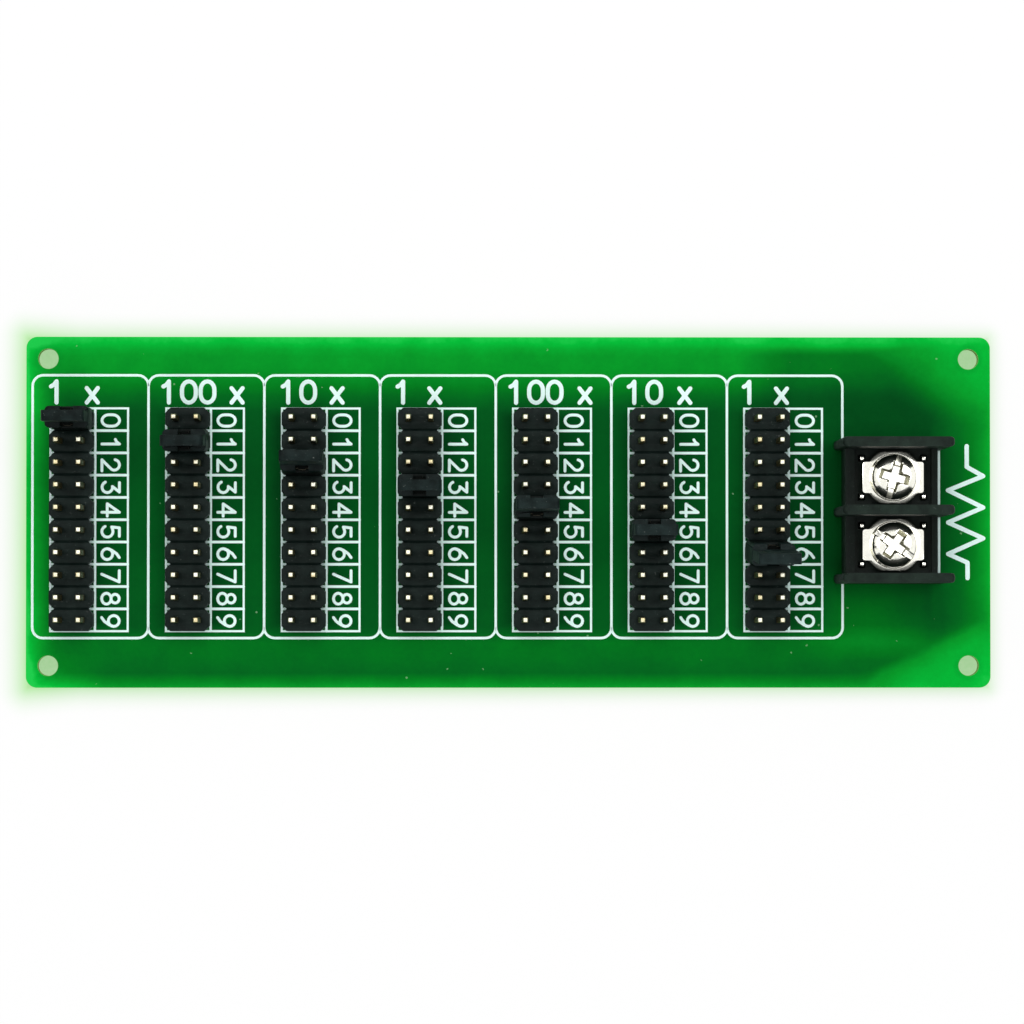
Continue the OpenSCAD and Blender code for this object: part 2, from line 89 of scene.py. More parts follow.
class Wire:
    # one output of a shader node; sums on it add Math nodes
    def __init__(self, finish, socket):
        self.finish = finish
        self.socket = socket

    def other(self, name):
        return Wire(self.finish, self.socket.node.outputs[name])

    def maths(self, operation, *others):
        return self.finish.node("ShaderNodeMath", {"operation": operation}, dict(enumerate((self,) + others)))

    def swapped(self, operation, first):
        return self.finish.node("ShaderNodeMath", {"operation": operation}, {0: first, 1: self})

    def __add__(self, other):
        return self.maths("ADD", other)

    __radd__ = __add__

    def __sub__(self, other):
        return self.maths("SUBTRACT", other)

    def __rsub__(self, other):
        return self.swapped("SUBTRACT", other)

    def __mul__(self, other):
        return self.maths("MULTIPLY", other)

    __rmul__ = __mul__

    def __truediv__(self, other):
        return self.maths("DIVIDE", other)

    def __rtruediv__(self, other):
        return self.swapped("DIVIDE", other)

    def __abs__(self):
        return self.maths("ABSOLUTE")

    def over(self, limit):
        return self.maths("GREATER_THAN", limit)

    def least(self, other):
        return self.maths("MINIMUM", other)

    def most(self, other):
        return self.maths("MAXIMUM", other)

    def softMost(self, other, reach):
        return self.maths("SMOOTH_MAX", other, reach)

    def clip(self):
        return self.most(0.0).least(1.0)

    def length(self, other):
        # from zero to the point that two wires give
        return (self * self + other * other).maths("SQRT")

    def ramp(self, stops):
        return self.finish.node("ShaderNodeValToRGB", {"stops": stops}, {"Fac": self})

    def profile(self, points):
        # levels from 0 to 255 at places in millimetres, with straight lines between them
        low, high = points[0][0], points[-1][0]
        stops = [((at - low) / (high - low), level / 255) for at, level in points]
        return ((self - low) / (high - low)).ramp(stops)


class NodeTree:
    # adds nodes to a tree, and hands each one back as a wire
    def __init__(self, tree):
        self.tree = tree

    def node(self, kind, settings=None, sockets=None, out=0):
        made = self.tree.nodes.new(kind)
        for key, value in (settings or {}).items():
            if key == "stops":
                self.setStops(made.color_ramp, value)
            else:
                setattr(made, key, value)
        for key, value in (sockets or {}).items():
            if isinstance(value, Wire):
                self.tree.links.new(value.socket, made.inputs[key])
            else:
                made.inputs[key].default_value = value
        return Wire(self, made.outputs[out])

    def setStops(self, ramp, stops):
        while len(ramp.elements) < len(stops):
            ramp.elements.new(0.5)
        for element, (place, color) in zip(ramp.elements, stops):
            element.position = place
            element.color = color if isinstance(color, tuple) else (color, color, color, 1.0)

    def mixShader(self, mask, first, second):
        return self.node("ShaderNodeMixShader", None, {0: mask, 1: first, 2: second})

    def seen(self):
        # one where the camera or metal looks, and zero for the light that falls on things
        rays = self.node("ShaderNodeLightPath", out="Is Camera Ray")
        return rays.most(rays.other("Is Glossy Ray"))


class Finish(NodeTree):
    # a material: fixed values go straight on the shader, and what varies is fed in
    def __init__(self, name, color, roughness, **fixed):
        self.material = bpy.data.materials.new(name)
        self.material.use_nodes = True
        super().__init__(self.material.node_tree)
        self.shader = self.tree.nodes["Principled BSDF"]
        self.shader.inputs["Base Color"].default_value = color
        self.shader.inputs["Roughness"].default_value = roughness
        for key, value in fixed.items():
            self.shader.inputs[key.replace("_", " ")].default_value = value

    def place(self):
        # Object coordinates in millimetres
        where = self.node("ShaderNodeTexCoord", out="Object")
        return self.node("ShaderNodeVectorMath", {"operation": "SCALE"}, {0: where, "Scale": 1000.0})

    def facing(self):
        # the surface normal, fixed to the piece
        return self.node("ShaderNodeTexCoord", out="Normal")

    def split(self, vector):
        x = self.node("ShaderNodeSeparateXYZ", None, {0: vector})
        return x, x.other("Y"), x.other("Z")

    def noise(self, where, scale, detail=3.0, roughness=0.55):
        sockets = {"Vector": where, "Scale": scale, "Detail": detail, "Roughness": roughness}
        return self.node("ShaderNodeTexNoise", None, sockets)

    def stretched(self, where, scale):
        return self.node("ShaderNodeMapping", None, {"Vector": where, "Scale": scale})

    def mix(self, mask, first, second):
        sockets = {0: mask, 6: first, 7: second}
        return self.node("ShaderNodeMix", {"data_type": "RGBA"}, sockets, out=2)

    def bump(self, height, strength, distance):
        sockets = {"Height": height, "Strength": strength, "Distance": distance}
        return self.node("ShaderNodeBump", None, sockets)

    def feed(self, **inputs):
        for key, value in inputs.items():
            self.tree.links.new(value.socket, self.shader.inputs[key.replace("_", " ")])
        return self.material


def tone(red, green, blue):
    # a colour as a screen shows it, 0 to 255, as shader values
    def straight(level):
        level = level / 255
        return level / 12.92 if level < 0.04045 else ((level + 0.055) / 1.055) ** 2.4
    return (straight(red), straight(green), straight(blue), 1.0)


def makeBoardFinish():
    # green mask over glass fibre, with painted light and shade in its colour: it is painted paler towards its
    # edges, where light comes through the board, and darker where the copper, chips and terminal on it keep
    # the light back; the profiles give levels of the green
    board = {
        "greens": [(45, 0, 46, 15), (64, 2, 64, 20), (82, 3, 82, 25), (100, 3, 101, 27), (118, 3, 119, 27),
                   (134, 5, 134, 34), (150, 7, 150, 38), (185, 5, 182, 54), (200, 30, 200, 74)],
        "upDown": [(-20.0, 150), (-19.4, 130), (-18.3, 96), (-16.4, 106), (-14.9, 108), (-13.2, 82),
                   (-11.8, 40), (9.5, 40), (11.8, 82), (13.3, 101), (14.8, 127), (16.3, 144), (17.8, 148),
                   (18.6, 160), (19.3, 186), (20.0, 198)],
        "leftRight": [(-55.0, 176), (-54.4, 148), (-52.6, 119), (-50.0, 84), (-47.0, 40), (47.0, 40),
                      (48.5, 80), (50.0, 90), (51.5, 98), (53.0, 118), (54.4, 146), (55.0, 168)],
        "topCorner": {"slope": (0.8, 1.22), "fall": [(5.0, 178), (9.5, 158), (12.5, 130), (14.5, 98),
                                                     (17.5, 60)]},
        "lowCorner": {"slope": (0.51, 1.0), "fall": [(3.5, 180), (6.0, 166), (7.6, 146), (8.8, 108),
                                                     (10.6, 80), (13.0, 56)]},
        "cornersFrom": 25.0,
        "dimAlong": [(26.0, 0), (32.0, 63.75), (44.0, 63.75), (48.0, 0)],
        "dimUp": [(0.0, 0), (8.0, 255), (18.0, 255), (19.0, 0)],
        "between": {"first": -54.9, "high": 24.0, "plain": 55.0, "darker": 15.0,
                    "spots": [(-25.3, 2.8), (0.8, 3.0)]},
        "byTerminal": [(25.0, 0), (29.0, 0), (33.0, 255), (55.0, 255)],
        "terminalPlain": 54.0,
        "terminalUp": [(-20.0, 36), (-8.0, 0), (6.0, 0), (10.5, 17.65), (13.0, 17.65)],
        "lowerHalf": [(-9.0, 5), (-4.0, 0)],
        "leftEnd": [(-55.0, 255), (-54.0, 190), (-51.5, 30), (-50.0, 0)],
        "leftEndUp": [(0.0, 10), (8.0, 22), (11.0, 38), (20.0, 38)],
        "lowLeft": [(-50.0, 200), (-46.0, 0)],
        "lowLeftUp": [(-20.0, 44), (-18.6, 34), (-17.0, 14), (-16.0, 0)],
        "below": [(33.0, 0), (36.0, 110), (38.0, 220), (41.0, 255), (44.0, 190), (47.0, 120), (49.5, 0)],
        "belowUp": [(-17.0, 0), (-14.5, 34), (-12.0, 46), (-10.0, 44), (-8.0, 24), (-6.0, 0)],
        "hole": (52.5, 17.5),
        "holeRing": [(1.3, 190), (1.5, 150), (1.9, 0)],
        "holeRim": 1.19,
        "ringGreen": tone(3, 96, 28),
        "rimGreen": tone(150, 200, 130),
        "dust": tone(150, 196, 150),
        "backGreens": (tone(4, 92, 30), tone(3, 70, 24)),
        "fibres": (tone(178, 205, 120), tone(140, 176, 96)),
    }
    f = Finish("board_mask", tone(3, 82, 27), 0.26, Specular_IOR_Level=0.12,
               Specular_Tint=(0.1, 1.0, 0.35, 1.0))
    where = f.place()
    x, y = f.split(where)[:2]
    sides = abs(y)
    upDown = y.profile(board["upDown"]) * (1.0 - x.profile(board["dimAlong"]) * y.profile(board["dimUp"]))
    leftRight = x.profile(board["leftRight"])
    # painted light and shade: between the headers the board is a little paler, and darker by the terminal
    between = board["between"]
    wave = ((x - between["first"]) * (2 * math.pi / decadeStep)).maths("COSINE") * 0.5 + 0.5
    inside = (wave * between["high"] + between["plain"]) / 255
    for spot, reach in between["spots"]:
        inside = inside - (1.0 - abs(x - spot) / reach).clip() * (between["darker"] / 255)
    terminal = x.profile(board["byTerminal"])
    inside = inside * (1.0 - terminal) + terminal * (board["terminalPlain"] / 255)
    inside = inside + terminal * y.profile(board["terminalUp"]) + y.profile(board["lowerHalf"])
    # painted light: the two right corners are paler, with an uneven border
    uneven = (f.noise(where, 0.14, 1.0) - 0.5) * 3.0

    def cornerLevel(corner, fromSide):
        slopeX, slopeY = corner["slope"]
        return ((halfLong - x) * slopeX + fromSide * slopeY + uneven).profile(corner["fall"])

    corner = cornerLevel(board["topCorner"], halfWide - y).most(cornerLevel(board["lowCorner"], halfWide + y))
    corner = corner * x.over(board["cornersFrom"])
    level = upDown.softMost(leftRight, 0.05).softMost(inside, 0.04).softMost(corner, 0.07)
    # painted light: paler again along the left end, in the lower left corner and below the terminal
    level = level + x.profile(board["leftEnd"]) * sides.profile(board["leftEndUp"])
    level = level + x.profile(board["lowLeft"]) * y.profile(board["lowLeftUp"])
    level = level + x.profile(board["below"]) * y.profile(board["belowUp"])
    patches = f.noise(where, 0.22, 2.0)
    grain = f.noise(where, 1.7, 4.0)
    level = level * ((patches - 0.5) * 0.22 + (grain - 0.5) * 0.10 + 1.0)
    front = level.ramp([(mark / 255, tone(*color)) for mark, *color in board["greens"]])
    # the four mounting holes have a pale rim and a darker ring
    holeX, holeY = board["hole"]
    hole = (abs(x) - holeX).length(sides - holeY)
    front = f.mix(hole.profile(board["holeRing"]) * 0.22, front, board["ringGreen"])
    rim = 1.0 - hole.over(board["holeRim"])
    front = f.mix(rim * 0.3, front, board["rimGreen"])
    # pale dust in the mask
    specks = f.node("ShaderNodeTexVoronoi", None, {"Vector": where, "Scale": 0.42}, out="Distance")
    dust = (0.055 - specks).over(0.0) * f.noise(where, 2.3, 0.0).over(0.5)
    front = f.mix(dust * 0.45, front, board["dust"])
    back = f.mix((patches - 0.5) * 0.6 + 0.3, *board["backGreens"])
    # bare fibre on the sides and in the holes
    nz = f.split(f.facing())[2]
    color = f.mix(nz.over(0.5), back, front)
    fibre = f.noise(f.stretched(where, (1.0, 1.0, 9.0)), 3.0, 3.0)
    side = f.mix(fibre, *board["fibres"])
    edge = 1.0 - abs(nz).over(0.5)
    color = f.mix(edge, color, side)
    rough = edge * 0.4 + 0.24 + (grain - 0.5) * 0.08
    relief = f.noise(where, 0.9, 3.0) * 0.7 + edge * fibre
    return f.feed(Base_Color=color, Roughness=rough, Normal=f.bump(relief, 0.25, 0.00004))


def makePlasticFinish(name, dark, pale, roughness, gloss, dustAmount, shades, drift=0.0):
    # moulded plastic: fine grain, faint flow marks, a little dust, and painted shade below some heights;
    # each of the shades is its height, how far it fades in, and its strength
    f = Finish(name, dark, roughness, Specular_IOR_Level=gloss)
    where = f.place()
    cloud = f.noise(where, 0.8, 4.0)
    grain = f.noise(where, 14.0, 3.0)
    streaks = f.noise(f.stretched(where, (5.0, 0.8, 0.8)), 1.6, 2.0)
    x, _, z = f.split(where)
    color = f.mix(((cloud - 0.5) * 1.9 + (grain - 0.5) * 0.9 + x * drift + 0.42).clip(), dark, pale)
    dust = (f.noise(where, 3.4, 5.0, 0.7) - 0.655).over(0.0) * (cloud - 0.44).over(0.0)
    color = f.mix(dust * dustAmount, color, tone(120, 126, 122))
    # painted shade: darker below each height, on the lower faces and in hollows
    for height, soft, amount in shades:
        color = f.mix(((height - z) / soft).clip() * amount, color, tone(3, 8, 6))
    rough = (streaks - 0.5) * 0.18 + (grain - 0.5) * 0.12 + roughness
    relief = grain * 0.8 + cloud * 0.5
    return f.feed(Base_Color=color, Roughness=rough, Normal=f.bump(relief, 0.3, 0.00003))


def makeMetalFinish(name, bright, dull, roughness, spread):
    # plated metal: slight tarnish, fine scratches and an uneven gloss
    f = Finish(name, bright, roughness, Metallic=1.0)
    where = f.place()
    tarnish = f.noise(where, 1.3, 5.0, 0.6)
    scratch = f.noise(f.stretched(where, (2.0, 16.0, 2.0)), 2.2, 3.0)
    fine = f.noise(where, 24.0, 2.0)
    color = f.mix(((tarnish - 0.45) * 1.8).clip(), bright, dull)
    rough = (tarnish - 0.5) * spread + (scratch - 0.5) * spread * 0.7 + roughness
    relief = scratch * 0.6 + fine * 0.5
    return f.feed(Base_Color=color, Roughness=rough.clip(), Normal=f.bump(relief, 0.18, 0.00002))


def makeClipFinish():
    # tinned bronze, with its top painted near black as shade, where it lies deep in the cap's windows
    clip = {"tin": tone(160, 154, 136), "dull": tone(104, 98, 82), "topShade": tone(14, 16, 15), "topShadeFrom": 10.4}
    f = Finish("tinned_bronze", tone(150, 144, 126), 0.45, Metallic=1.0)
    where = f.place()
    tarnish = f.noise(where, 2.2, 4.0)
    color = f.mix(tarnish, clip["tin"], clip["dull"])
    # painted shade on the top of the clip
    color = f.mix((f.split(where)[2] - clip["topShadeFrom"]).clip(), color, clip["topShade"])
    return f.feed(Base_Color=color, Roughness=tarnish * 0.3 + 0.42)


def makeRecessFinish():
    # nickel in the pressed recess, with painted light and shade by facing: bright on its floor, grey on
    # slopes and dark on upright walls
    recess = {"slopes": [(0.0, 58, 57, 42), (0.3, 84, 83, 62), (0.4, 112, 111, 90), (0.5, 176, 175, 158),
                         (0.8, 206, 204, 188), (0.95, 252, 251, 242)],
              "dull": tone(164, 163, 150), "endShadeFrom": 1.74, "endShadeOver": 0.12, "rearEndShade": 1.0,
              "frontEndShade": 0.25}
    f = Finish("pressed_nickel", tone(250, 248, 236), 0.24, Metallic=1.0)
    where = f.place()
    nz = f.split(f.facing())[2]
    color = nz.ramp([(slope, tone(*shade)) for slope, *shade in recess["slopes"]])
    # painted shade: the slot floors are greyer where they run out over the shoulders of the two heads, which
    # stand alike in y, and more so on the rear one
    x, y = f.split(where)[:2]
    out = (((x - poleX).length(abs(y) - poleY) - recess["endShadeFrom"]) / recess["endShadeOver"]).clip()
    strength = y.over(0.0) * (recess["rearEndShade"] - recess["frontEndShade"]) + recess["frontEndShade"]
    color = f.mix(out * nz.over(0.9) * strength, color, recess["dull"])
    rough = f.noise(where, 6.0, 3.0) * 0.2 + 0.14
    return f.feed(Base_Color=color, Roughness=rough)


def makePinFinish():
    # gold plate: bright on the tips, with painted shade darkening it brownish down the sides, and uneven from
    # pin to pin
    f = Finish("gold_plate", tone(252, 240, 200), 0.42, Metallic=1.0)
    where = f.place()
    nz = f.split(f.facing())[2]
    # painted shade on the upright sides
    side = ((0.62 - abs(nz)) * 4.0).clip()
    each = ((f.noise(where, 0.46, 0.0) - 0.42) * 3.4).clip()
    tip = f.mix(each, tone(224, 222, 202), tone(196, 184, 144))
    color = f.mix(side, tip, tone(96, 88, 52))
    rough = f.noise(where, 5.0, 3.0) * 0.24 + 0.3
    return f.feed(Base_Color=color, Roughness=rough)


def makeInkFinish():
    # screen printed ink: greenish white with thin spots
    f = Finish("legend_ink", tone(228, 255, 250), 0.5, Specular_IOR_Level=0.2)
    where = f.place()
    thin = f.noise(where, 3.2, 4.0, 0.65)
    color = f.mix(((thin - 0.52) * 2.4).clip() * 0.4, tone(230, 255, 250), tone(176, 236, 204))
    return f.feed(Base_Color=color, Roughness=thin * 0.2 + 0.4, Normal=f.bump(thin, 0.2, 0.00001))


def makeTraceFinish():
    # mask over copper is paler than mask over bare fibre
    f = Finish("masked_copper", tone(14, 128, 50), 0.25, Specular_IOR_Level=0.15,
               Specular_Tint=(0.2, 1.0, 0.4, 1.0))
    where = f.place()
    cloud = f.noise(where, 0.7, 3.0)
    color = f.mix(cloud, tone(12, 132, 50), tone(8, 108, 40))
    return f.feed(Base_Color=color, Roughness=cloud * 0.12 + 0.2)


def makeCeramicFinish():
    # white fired body of a chip
    f = Finish("chip_ceramic", tone(232, 232, 226), 0.55)
    where = f.place()
    grain = f.noise(where, 9.0, 3.0)
    color = f.mix(grain, tone(238, 238, 232), tone(206, 206, 198))
    return f.feed(Base_Color=color, Normal=f.bump(grain, 0.3, 0.00002))


def makeGlazeFinish():
    # black glass over the resistor film
    f = Finish("chip_glaze", tone(22, 22, 26), 0.22)
    where = f.place()
    cloud = f.noise(where, 2.5, 3.0)
    color = f.mix(cloud, tone(20, 20, 25), tone(40, 38, 44))
    return f.feed(Base_Color=color, Roughness=cloud * 0.2 + 0.14)


finishes = {
    "board": makeBoardFinish(),
    "header": makePlasticFinish("header_plastic", tone(9, 19, 17), tone(25, 37, 34), roughness=0.46,
                                gloss=0.08, dustAmount=0.3, shades=[(4.5, 1.5, 0.62)]),
    "cap": makePlasticFinish("cap_plastic", tone(4, 14, 13), tone(31, 44, 43), roughness=0.45, gloss=0.07,
                             dustAmount=0.5, shades=[(14.5, 2.0, 0.14), (11.0, 1.0, 0.75)], drift=0.005),
    "terminal": makePlasticFinish("terminal_plastic", tone(15, 24, 20), tone(33, 46, 39), roughness=0.5,
                                  gloss=0.08, dustAmount=0.26, shades=[(16.2, 1.5, 0.62)]),
    "pin": makePinFinish(),
    "clip": makeClipFinish(),
    "nickel": makeMetalFinish("bright_nickel", tone(252, 251, 240), tone(224, 222, 210), roughness=0.12,
                              spread=0.14),
    "recess": makeRecessFinish(),
    "solder": makeMetalFinish("solder", tone(222, 224, 224), tone(176, 178, 178), roughness=0.28,
                              spread=0.26),
    "ink": makeInkFinish(),
    "trace": makeTraceFinish(),
    "ceramic": makeCeramicFinish(),
    "glaze": makeGlazeFinish(),
}
print("finishes made:", len(finishes))


# Modelling tools, all in millimetres until a piece is settled


def pick(piece):
    bpy.ops.object.select_all(action="DESELECT")
    piece.select_set(True)
    bpy.context.view_layer.objects.active = piece


def openMesh(piece, kind="VERT"):
    pick(piece)
    bpy.ops.object.mode_set(mode="EDIT")
    bpy.ops.mesh.select_mode(type=kind)
    bpy.ops.mesh.select_all(action="SELECT")


def closeMesh():
    bpy.ops.object.mode_set(mode="OBJECT")


def choose(piece, kind, test):
    # selects the vertices that the test takes by place and normal, or the edges by middle and direction
    bpy.ops.mesh.select_mode(type=kind)
    bpy.ops.mesh.select_all(action="DESELECT")
    mesh = bmesh.from_edit_mesh(piece.data)
    if kind == "VERT":
        for vertex in mesh.verts:
            vertex.select_set(test(vertex.co, vertex.normal))
    else:
        for edge in mesh.edges:
            first, second = edge.verts
            edge.select_set(test((first.co + second.co) / 2, second.co - first.co))
    mesh.select_flush_mode()
    bmesh.update_edit_mesh(piece.data)


def shiftPoints(piece, test, move):
    choose(piece, "VERT", test)
    bpy.ops.transform.translate(value=move)


def scalePoints(piece, test, factors, centre=(0, 0, 0)):
    choose(piece, "VERT", test)
    bpy.ops.transform.resize(value=factors, center_override=centre)


def cutMesh(place, normal, **sides):
    bpy.ops.mesh.select_all(action="SELECT")
    bpy.ops.mesh.bisect(plane_co=place, plane_no=normal, **sides)


def mergeMesh(piece):
    # loose triangles become closed faces again
    openMesh(piece)
    bpy.ops.mesh.remove_doubles(threshold=0.002)
    bpy.ops.mesh.dissolve_limited(angle_limit=math.radians(0.6))
    closeMesh()


def pointNormalsOut():
    bpy.ops.mesh.select_all(action="SELECT")
    bpy.ops.mesh.normals_make_consistent(inside=False)


def coat(piece, *names):
    piece.data.materials.clear()
    for name in names:
        piece.data.materials.append(finishes[name])


def placeInMesh(piece):
    pick(piece)
    bpy.ops.object.transform_apply(location=True, rotation=True, scale=True)


def modify(piece, kind, **settings):
    pick(piece)
    added = piece.modifiers.new(kind.lower(), kind)
    for key, value in settings.items():
        setattr(added, key, value)
    bpy.ops.object.modifier_apply(modifier=added.name)


def smoothUpTo(piece, angle):
    pick(piece)
    bpy.ops.object.shade_smooth_by_angle(angle=math.radians(angle))


def softenEdges(piece, width, segments=2, angle=32, slot=-1):
    modify(piece, "BEVEL", width=width, segments=segments, limit_method="ANGLE",
           angle_limit=math.radians(angle), miter_outer="MITER_ARC", harden_normals=False, material=slot)
    smoothUpTo(piece, 40)


def addBlock(low, high):
    size = Vector(high) - Vector(low)
    bpy.ops.mesh.primitive_cube_add(size=1, location=(Vector(high) + Vector(low)) / 2)
    block = bpy.context.object
    block.scale = size
    placeInMesh(block)
    return block


def addDrum(radius, low, high, sides=48):
    bpy.ops.mesh.primitive_cylinder_add(vertices=sides, radius=radius, depth=high - low,
                                        location=(0, 0, (low + high) / 2))
    drum = bpy.context.object
    placeInMesh(drum)
    return drum


def dropPieces(pieces):
    for piece in pieces:
        bpy.data.objects.remove(piece)


def combine(piece, tool, operation, solver="EXACT"):
    modify(piece, "BOOLEAN", object=tool, operation=operation, solver=solver)
    dropPieces([tool])


def drawWire(points, loop):
    # a ring of edges whose vertices are moved onto the points; an open line loses its closing edge
    bpy.ops.mesh.primitive_circle_add(vertices=len(points), fill_type="NOTHING")
    wire = bpy.context.object
    for vertex, point in zip(wire.data.vertices, points):
        vertex.co = (point[0], point[1], point[2] if len(point) > 2 else 0.0)
    if not loop:
        openMesh(wire, "EDGE")
        bpy.ops.mesh.select_all(action="DESELECT")
        mesh = bmesh.from_edit_mesh(wire.data)
        mesh.verts.ensure_lookup_table()
        closing = [edge for edge in mesh.verts[0].link_edges if mesh.verts[-1] in edge.verts]
        for edge in closing:
            edge.select_set(True)
        bmesh.update_edit_mesh(wire.data)
        bpy.ops.mesh.delete(type="EDGE")
        closeMesh()
    return wire


def lathe(profile, steps):
    # a profile of (radius, height) points spun round Z
    piece = drawWire([(radius, 0.0, height) for radius, height in profile], False)
    openMesh(piece)
    bpy.ops.mesh.spin(steps=steps, angle=2 * math.pi, center=(0, 0, 0), axis=(0, 0, 1))
    bpy.ops.mesh.select_all(action="SELECT")
    bpy.ops.mesh.remove_doubles(threshold=0.0005)
    bpy.ops.mesh.dissolve_degenerate(threshold=0.0001)
    pointNormalsOut()
    closeMesh()
    return piece


def joinPieces(pieces):
    pick(pieces[0])
    for piece in pieces[1:]:
        piece.select_set(True)
    bpy.ops.object.join()
    return bpy.context.object


def copyTo(piece, x=0.0, y=0.0, z=0.0, turn=0.0, size=1.0):
    # a copy with its own mesh, turned and moved in that mesh
    copy = piece.copy()
    copy.data = piece.data.copy()
    bpy.context.collection.objects.link(copy)
    move = Matrix.Translation((x, y, z)) @ Matrix.Rotation(turn, 4, "Z") @ Matrix.Scale(size, 4)
    copy.data.transform(move)
    return copy


def settle(piece, name, body, finish, nodes=()):
    # from millimetres to metres, with the place in the mesh, and onto its body
    placeInMesh(piece)
    piece.scale = (mm, mm, mm)
    placeInMesh(piece)
    piece.name = name
    piece.data.name = name
    if finish:
        coat(piece, finish)
    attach(piece, body)
    if nodes:
        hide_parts(*nodes)
    piece.select_set(False)
    return piece


def dressNode(node, edgeWidth, name, body, finish, segments=2, shape=None):
    # a merged copy of a CAD node, its sharp edges rounded as moulding or plating leaves them
    piece = bpy.data.objects.new(name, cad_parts[node].data.copy())
    bpy.context.collection.objects.link(piece)
    piece.data.transform(Matrix.Scale(1 / mm, 4))
    pick(piece)
    bpy.ops.mesh.customdata_custom_splitnormals_clear()
    mergeMesh(piece)
    if shape:
        shape(piece)
    softenEdges(piece, edgeWidth, segments)
    return settle(piece, name, body, finish, [node])


# Camera


def placeCamera():
    view = {"from": (-8.16, -13.38, 586.0), "at": (0.363, 0.03, 3.0), "lens": 179.7, "sensor": 36.0}
    data = bpy.data.cameras.new("camera")
    data.lens = view["lens"]
    data.sensor_width = view["sensor"]
    data.clip_start = 0.01
    camera = bpy.data.objects.new("camera", data)
    bpy.context.scene.collection.objects.link(camera)
    start = Vector(view["from"]) * mm
    aim = (Vector(view["at"]) * mm - start).normalized()
    right = aim.cross(Vector((0, 1, 0))).normalized()
    up = right.cross(aim)
    turn = Matrix((right, up, -aim)).transposed().to_4x4()
    camera.matrix_world = Matrix.Translation(start) @ turn
    bpy.context.scene.camera = camera


placeCamera()


# Legend: flat strokes of ink, drawn as wires that a round bevel thickens


def arc(x, y, radiusX, radiusY, first, last, steps):
    points = []
    for step in range(steps + 1):
        angle = math.radians(first + (last - first) * step / steps)
        points.append((x + radiusX * math.cos(angle), y + radiusY * math.sin(angle)))
    return points


def inkStroke(points, width, loop=False, roundEnds=True, height=0.02, z=boardTop):
    ends = [(1.0, 0.12), (0.87, 0.5), (0.5, 0.87)]
    radii = [1.0] * len(points)
    if not loop and roundEnds:
        first = (Vector(points[0]) - Vector(points[1])).normalized() * width / 2
        last = (Vector(points[-1]) - Vector(points[-2])).normalized() * width / 2
        before = [tuple(Vector(points[0]) + first * out) for out, size in ends]
        after = [tuple(Vector(points[-1]) + last * out) for out, size in reversed(ends)]
        sizes = [size for out, size in ends]
        points = before + list(points) + after
        radii = sizes + radii + sizes[::-1]
    stroke = drawWire(points, loop)
    pick(stroke)
    bpy.ops.object.convert(target="CURVE")
    curve = bpy.context.object
    curve.data.dimensions = "3D"
    curve.data.twist_mode = "Z_UP"
    curve.data.bevel_depth = width / 2
    curve.data.bevel_resolution = 1
    curve.data.use_fill_caps = True
    if not loop:
        line = curve.data.splines[0]
        if (Vector(line.points[0].co[:2]) - Vector(points[0])).length > 0.0001:
            radii = radii[::-1]
        for point, radius in zip(line.points, radii):
            point.radius = radius
    bpy.ops.object.convert(target="MESH")
    stroke = bpy.context.object
    flat = height / (width / 2)
    stroke.data.transform(Matrix.Translation((0, 0, z)) @ Matrix.Diagonal((1, 1, flat, 1)))
    return stroke


def numeralShapes():
    # each numeral is a list of strokes in a box 0.65 wide and 1 high
    return {
        "0": [(arc(0.325, 0.60, 0.325, 0.40, 0, 180, 10)
               + arc(0.325, 0.40, 0.325, 0.40, 180, 360, 10), True)],
        "1": [([(0.40, 0.0), (0.40, 1.0)], False), ([(0.40, 1.0), (0.28, 0.84), (0.14, 0.76)], False)],
        "2": [(arc(0.32, 0.70, 0.30, 0.30, 170, -25, 9) + [(0.45, 0.42), (0.03, 0.0)], False),
              ([(0.03, 0.0), (0.66, 0.0)], False)],
        "3": [([(0.06, 1.0), (0.60, 1.0)], False), ([(0.60, 1.0), (0.28, 0.60)], False),
              (arc(0.32, 0.31, 0.31, 0.30, 88, -158, 11), False)],
        "4": [([(0.48, 0.0), (0.48, 1.0)], False), ([(0.48, 1.0), (0.0, 0.31)], False),
              ([(0.0, 0.31), (0.70, 0.31)], False)],
        "5": [([(0.58, 1.0), (0.10, 1.0)], False), ([(0.10, 1.0), (0.05, 0.56)], False),
              ([(0.05, 0.56)] + arc(0.31, 0.32, 0.32, 0.32, 112, -155, 11), False)],
        "6": [(arc(0.325, 0.31, 0.31, 0.31, 0, 360, 16)[:-1], True),
              ([(0.52, 1.0), (0.30, 0.84), (0.10, 0.56), (0.02, 0.34)], False)],
        "7": [([(0.0, 1.0), (0.64, 1.0)], False), ([(0.64, 1.0), (0.20, 0.0)], False)],
        "8": [(arc(0.325, 0.765, 0.25, 0.235, 0, 360, 14)[:-1], True),
              (arc(0.325, 0.27, 0.31, 0.27, 0, 360, 16)[:-1], True)],
        "9": [(arc(0.325, 0.69, 0.31, 0.31, 0, 360, 16)[:-1], True),
              ([(0.13, 0.0), (0.35, 0.16), (0.55, 0.44), (0.63, 0.66)], False)],
        "cross": [([(0.0, 0.0), (0.52, 0.68)], False), ([(0.0, 0.68), (0.52, 0.0)], False)],
    }


def drawNumerals(high, width):
    drawn = {}
    for name, strokes in numeralShapes().items():
        parts = []
        for index, (points, loop) in enumerate(strokes):
            scaled = [(u * high, v * high) for u, v in points]
            parts.append(inkStroke(scaled, width, loop, height=0.02 + 0.002 * index))
        drawn[name] = joinPieces(parts)
    return drawn


